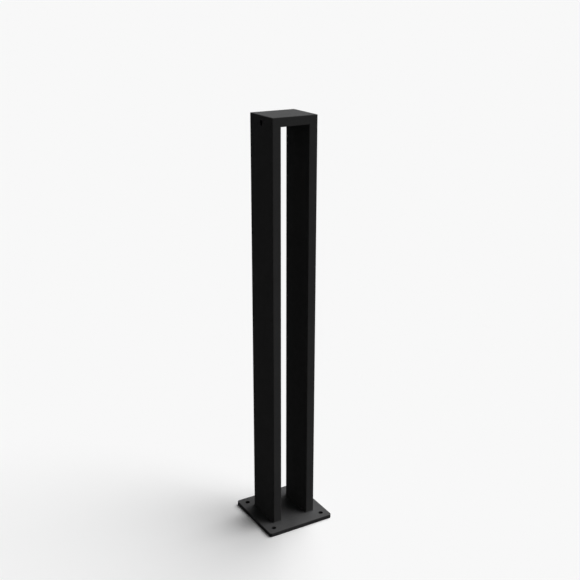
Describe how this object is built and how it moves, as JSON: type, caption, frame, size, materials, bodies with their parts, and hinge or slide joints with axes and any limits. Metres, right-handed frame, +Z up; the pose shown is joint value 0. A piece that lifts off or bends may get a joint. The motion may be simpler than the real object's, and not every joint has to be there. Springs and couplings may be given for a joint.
{
  "type": "bike rack",
  "caption": "Tall narrow rectangular hoop of black coated hollow steel section on a square anchor plate; a bicycle's front wheel goes through the slot between its uprights to be locked.",
  "frame": {"origin": "on the floor, at the middle of the anchor plate's underside", "axes": "+Z up, +X to the right across the slot, -Y towards the front; the wheel goes through the slot along Y"},
  "size_m": [0.14, 0.14, 0.8],
  "materials": {
    "coated_section": "matt black powder coat with a fine orange-peel texture",
    "coated_plate": "matt black powder coat with a fine orange-peel texture",
    "coated_weld": "matt black powder coat over a fine rippled weld bead"
  },
  "bodies": {
    "root": {"base_plate": "coated_plate", "left_upright": "coated_section", "right_upright": "coated_section", "top_rail": "coated_section", "left_corner_weld": "coated_section", "right_corner_weld": "coated_section", "left_foot_weld": "coated_weld", "right_foot_weld": "coated_weld"}
  },
  "joints": []
}
